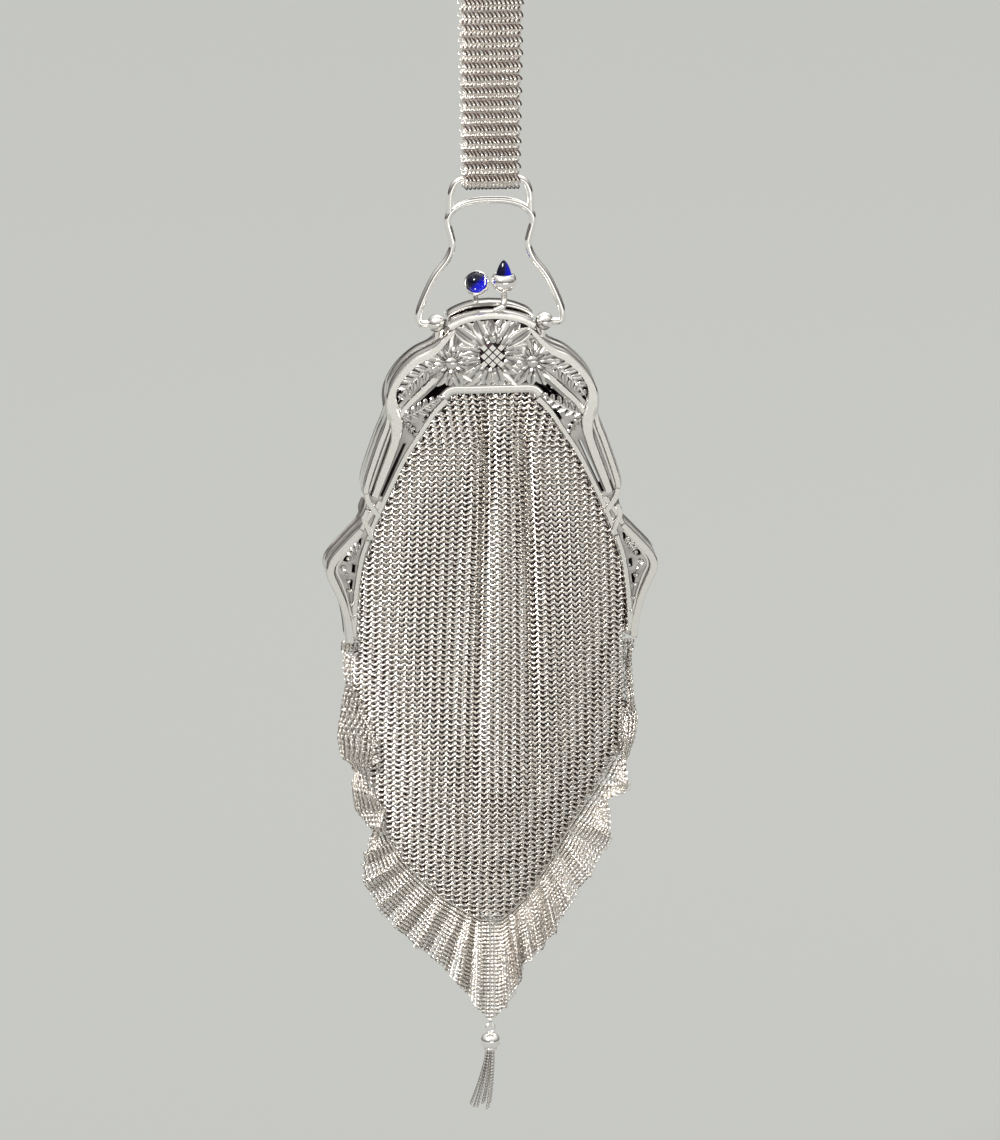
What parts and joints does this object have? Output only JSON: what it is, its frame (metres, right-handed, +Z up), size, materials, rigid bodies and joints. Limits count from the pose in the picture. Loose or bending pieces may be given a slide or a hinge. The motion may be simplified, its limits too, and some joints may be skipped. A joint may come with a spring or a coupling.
{
  "type": "metal mesh purse",
  "caption": "Pointed silver ring-mesh purse hanging by a mesh wrist strap, with pierced flower jaws, kiss clasp with blue stones, swinging wire bail, gathered frill and tassel.",
  "frame": {"origin": "inside top of the strap loop, where the purse hangs", "axes": "+Z up along the hanging purse, the flowered front faces -Y, +X to the right seen from the front"},
  "size_m": [0.12, 0.0246, 0.4754],
  "materials": {
    "silver_mesh": "soldered silver ring mesh, tarnished dark between the rings",
    "silver": "polished silver with fine wear",
    "cast_silver": "cast silver, bright on the high places and oxidised in the recesses",
    "blue_stone": "polished deep blue cabochon"
  },
  "bodies": {
    "carry": {"strap": "silver_mesh", "bail": "silver"},
    "purse": {"pivot_ball_left": "silver", "pivot_ball_right": "silver", "frame_front": "cast_silver", "frame_back": "cast_silver", "hinge_left": "silver", "hinge_right": "silver", "clasp_knob_front": "silver", "clasp_knob_back": "silver", "stone_upright": "blue_stone", "stone_facing": "blue_stone", "bag": "silver_mesh", "frill": "silver_mesh", "tassel_link": "silver", "tassel": "silver"}
  },
  "joints": [
    {"name": "bail_hinge", "type": "hinge", "parent": "carry", "child": "purse", "pos_m": [0, 0, -0.1831], "axis": [1, 0, 0], "range_deg": [-90, 90]}
  ]
}
